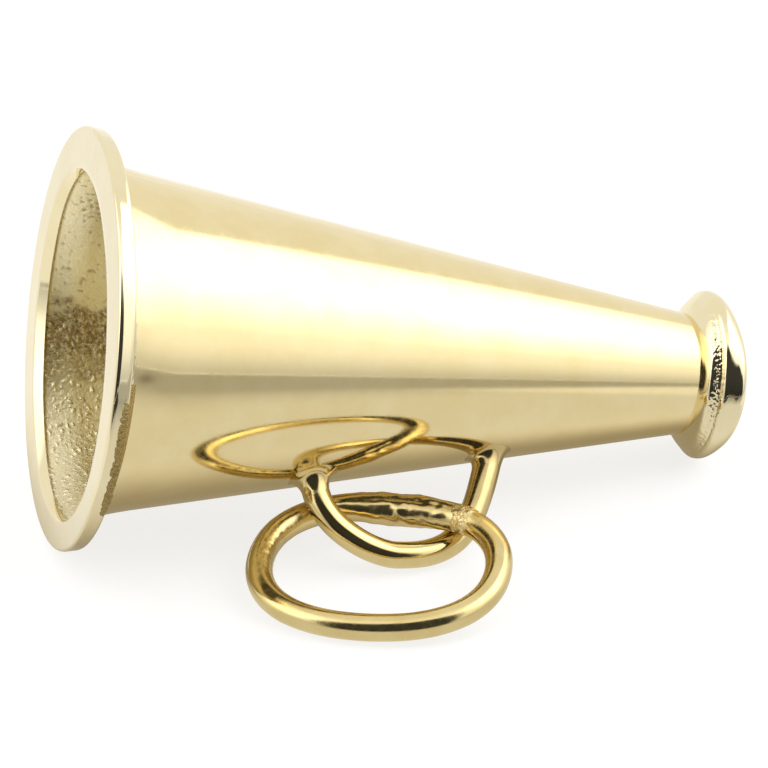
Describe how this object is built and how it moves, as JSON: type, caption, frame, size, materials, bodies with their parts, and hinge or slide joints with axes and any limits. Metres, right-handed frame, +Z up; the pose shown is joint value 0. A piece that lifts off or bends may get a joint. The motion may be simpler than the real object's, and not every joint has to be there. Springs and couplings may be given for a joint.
{
  "type": "cheer megaphone charm",
  "caption": "Gold charm shaped like a cheerleader's megaphone: hollow tapering horn, flat bell rim, beaded mouthpiece, soldered wire loop and a free oval link.",
  "frame": {"origin": "bottom centre of the whole charm's box, on the table that it lies on", "axes": "+X runs level along the charm from the bell to the mouthpiece, +Y points away from the wire loop's side, +Z is up. The horn's own axis is in a plane parallel to XZ and drops 10.7 degrees towards +X."},
  "size_m": [0.0226, 0.0164, 0.013],
  "materials": {
    "polished_gold": "polished yellow gold",
    "satin_gold": "gold solder, cast and less polished"
  },
  "bodies": {
    "horn": {"horn_shell": "polished_gold", "bell_rim": "polished_gold", "rim_solder_seam": "satin_gold", "mouthpiece_bead": "polished_gold", "mouthpiece_lip": "polished_gold", "handle_loop": "polished_gold", "front_solder_fillet": "satin_gold", "rear_solder_fillet": "satin_gold"},
    "link": {"link_ring": "polished_gold", "link_solder": "satin_gold"}
  },
  "joints": [
    {"name": "link_swing", "type": "hinge", "parent": "horn", "child": "link", "pos_m": [-0.00179, -0.00266, 0.00132], "axis": [-1, 0, 0], "range_deg": [0, 90]}
  ]
}
